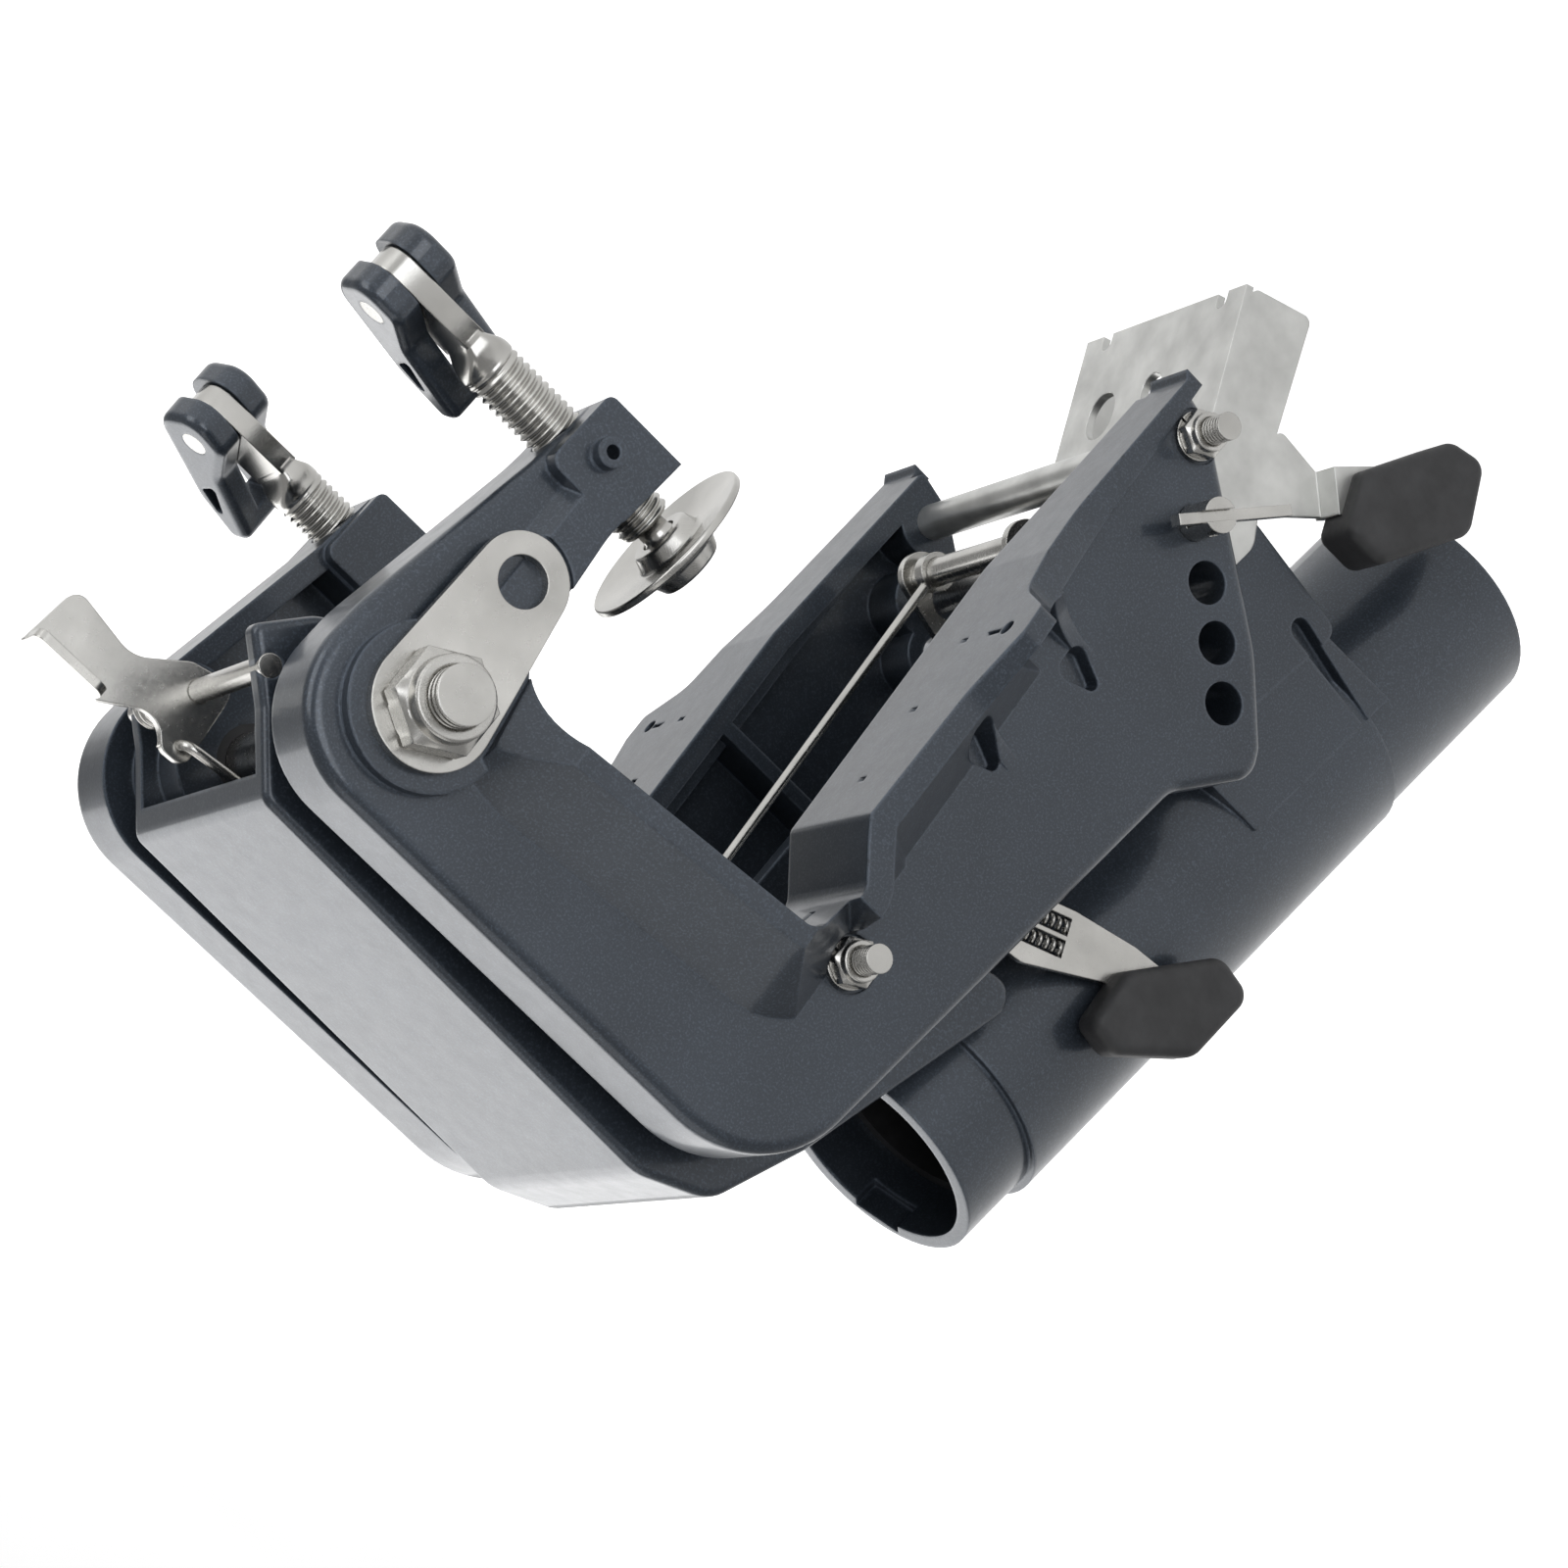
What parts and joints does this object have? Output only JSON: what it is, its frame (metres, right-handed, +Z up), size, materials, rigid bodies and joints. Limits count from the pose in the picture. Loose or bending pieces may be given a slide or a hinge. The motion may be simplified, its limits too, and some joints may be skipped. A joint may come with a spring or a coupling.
{
  "type": "outboard swivel bracket",
  "caption": "Transom clamp and swivel bracket of a small outboard engine, with steering tube, clamp screws, trim pin and tilt lock.",
  "frame": {"origin": "centre of the upper steering bush's mouth", "axes": "+X forward into the boat, square to the transom, +Y to port, +Z up"},
  "size_m": [0.2783, 0.173, 0.2581],
  "materials": {
    "casting": "satin dark blue-grey metallic paint on cast aluminium",
    "steel": "bright stainless steel, fine turned or brushed",
    "plate": "bright stamped sheet",
    "rubber": "matt black moulded grip",
    "bush": "black bearing plastic"
  },
  "bodies": {
    "clamp_frame": {"clamp_bracket_port": "casting", "clamp_bracket_starboard": "casting", "tilt_bolt": "steel", "tilt_nut": "steel", "tilt_washer": "steel", "safety_plate": "steel", "tip_tie_bolt": "steel", "side_bolt": "steel", "tie_nuts": "steel", "spring_washers": "steel", "tip_spacer": "plate"},
    "swivel": {"swivel_bracket": "casting", "pivot_bush_port": "bush", "pivot_bush_starboard": "bush", "upper_steering_bush": "bush", "lower_steering_bush": "bush", "hook_hinge_pin": "steel", "hook_spring": "steel", "crank_pin": "steel", "lever_pin": "steel", "lever_spring": "steel", "support_pins": "steel", "shallow_pin": "steel", "shallow_spring": "steel"},
    "hook": {"lock_hook": "steel", "hook_bar": "steel"},
    "link": {"link_rod": "steel"},
    "crank": {"bell_crank": "steel"},
    "lever": {"tilt_lever": "steel"},
    "wire": {"lever_wire": "steel"},
    "support": {"tilt_support": "plate", "support_grip": "rubber"},
    "shallow": {"shallow_lever": "steel", "shallow_grip": "rubber", "window_springs": "steel"},
    "trim_pin": {"trim_pin": "steel", "toggle_rivet": "steel"},
    "toggle": {"trim_toggle": "steel"},
    "pad_port": {"clamp_pad_port": "steel"},
    "screw_port": {"clamp_screw_port": "steel"},
    "handle_port": {"clamp_handle_port": "casting", "handle_pin_port": "steel"},
    "pad_starboard": {"clamp_pad_starboard": "steel"},
    "screw_starboard": {"clamp_screw_starboard": "steel"},
    "handle_starboard": {"clamp_handle_starboard": "casting", "handle_pin_starboard": "steel"}
  },
  "joints": [
    {"name": "tilt", "type": "hinge", "parent": "clamp_frame", "child": "swivel", "pos_m": [0.1564, 0, 0.03779], "axis": [0, 1, 0], "range_deg": [0, 70]},
    {"name": "hook_turn", "type": "hinge", "parent": "swivel", "child": "hook", "pos_m": [0.04259, 0, -0.10481], "axis": [0, 1, 0], "range_deg": [0, 40]},
    {"name": "link_turn", "type": "hinge", "parent": "hook", "child": "link", "pos_m": [0.06399, 0, -0.10481], "axis": [0, 1, 0], "range_deg": [-40, 0]},
    {"name": "crank_turn", "type": "hinge", "parent": "swivel", "child": "crank", "pos_m": [0.0412, 0, 0.02579], "axis": [0, 1, 0], "range_deg": [0, 40]},
    {"name": "lever_turn", "type": "hinge", "parent": "swivel", "child": "lever", "pos_m": [0.1784, 0, 0.04179], "axis": [0, 1, 0], "range_deg": [0, 40]},
    {"name": "wire_turn", "type": "hinge", "parent": "lever", "child": "wire", "pos_m": [0.1743, 0, 0.05307], "axis": [0, 1, 0], "range_deg": [-40, 0]},
    {"name": "support_turn", "type": "hinge", "parent": "swivel", "child": "support", "pos_m": [0.03239, 0, -0.13416], "axis": [0, 1, 0], "range_deg": [-45, 0]},
    {"name": "shallow_turn", "type": "hinge", "parent": "swivel", "child": "shallow", "pos_m": [0.0264, -0.03, -0.03221], "axis": [0, 1, 0], "range_deg": [-15, 15]},
    {"name": "trim_pin_slide", "type": "slide", "parent": "clamp_frame", "child": "trim_pin", "axis": [0, -1, 0], "range_m": [0, 0.13]},
    {"name": "toggle_turn", "type": "hinge", "parent": "trim_pin", "child": "toggle", "pos_m": [0.05119, -0.0698, -0.11426], "axis": [-0.7466, 0, 0.6652], "range_deg": [0, 30]},
    {"name": "clamp_slide_port", "type": "slide", "parent": "clamp_frame", "child": "pad_port", "axis": [-1, 0, 0], "range_m": [-0.008, 0]},
    {"name": "screw_turn_port", "type": "hinge", "parent": "pad_port", "child": "screw_port", "pos_m": [0.1364, 0.05444, -0.02746], "axis": [1, 0, 0], "range_deg": [-1800, 1200]},
    {"name": "handle_fold_port", "type": "hinge", "parent": "screw_port", "child": "handle_port", "pos_m": [0.2029, 0.05444, -0.02746], "axis": [0, 0, 1], "range_deg": [-110, 0]},
    {"name": "clamp_slide_starboard", "type": "slide", "parent": "clamp_frame", "child": "pad_starboard", "axis": [-1, 0, 0], "range_m": [-0.008, 0.005]},
    {"name": "screw_turn_starboard", "type": "hinge", "parent": "pad_starboard", "child": "screw_starboard", "pos_m": [0.1364, -0.05444, -0.02746], "axis": [1, 0, 0], "range_deg": [-1800, 1200]},
    {"name": "handle_fold_starboard", "type": "hinge", "parent": "screw_starboard", "child": "handle_starboard", "pos_m": [0.2109, -0.05444, -0.02746], "axis": [0, 0.1736, 0.9848], "range_deg": [-110, 0]}
  ],
  "couplings": [
    {"joint": "link_turn", "follows": "hook_turn", "ratio": -1},
    {"joint": "crank_turn", "follows": "hook_turn", "ratio": 1},
    {"joint": "lever_turn", "follows": "hook_turn", "ratio": 1},
    {"joint": "wire_turn", "follows": "hook_turn", "ratio": -1},
    {"joint": "screw_turn_port", "follows": "clamp_slide_port", "rad_per_m": 3590.4},
    {"joint": "screw_turn_starboard", "follows": "clamp_slide_starboard", "rad_per_m": 3590.4}
  ]
}
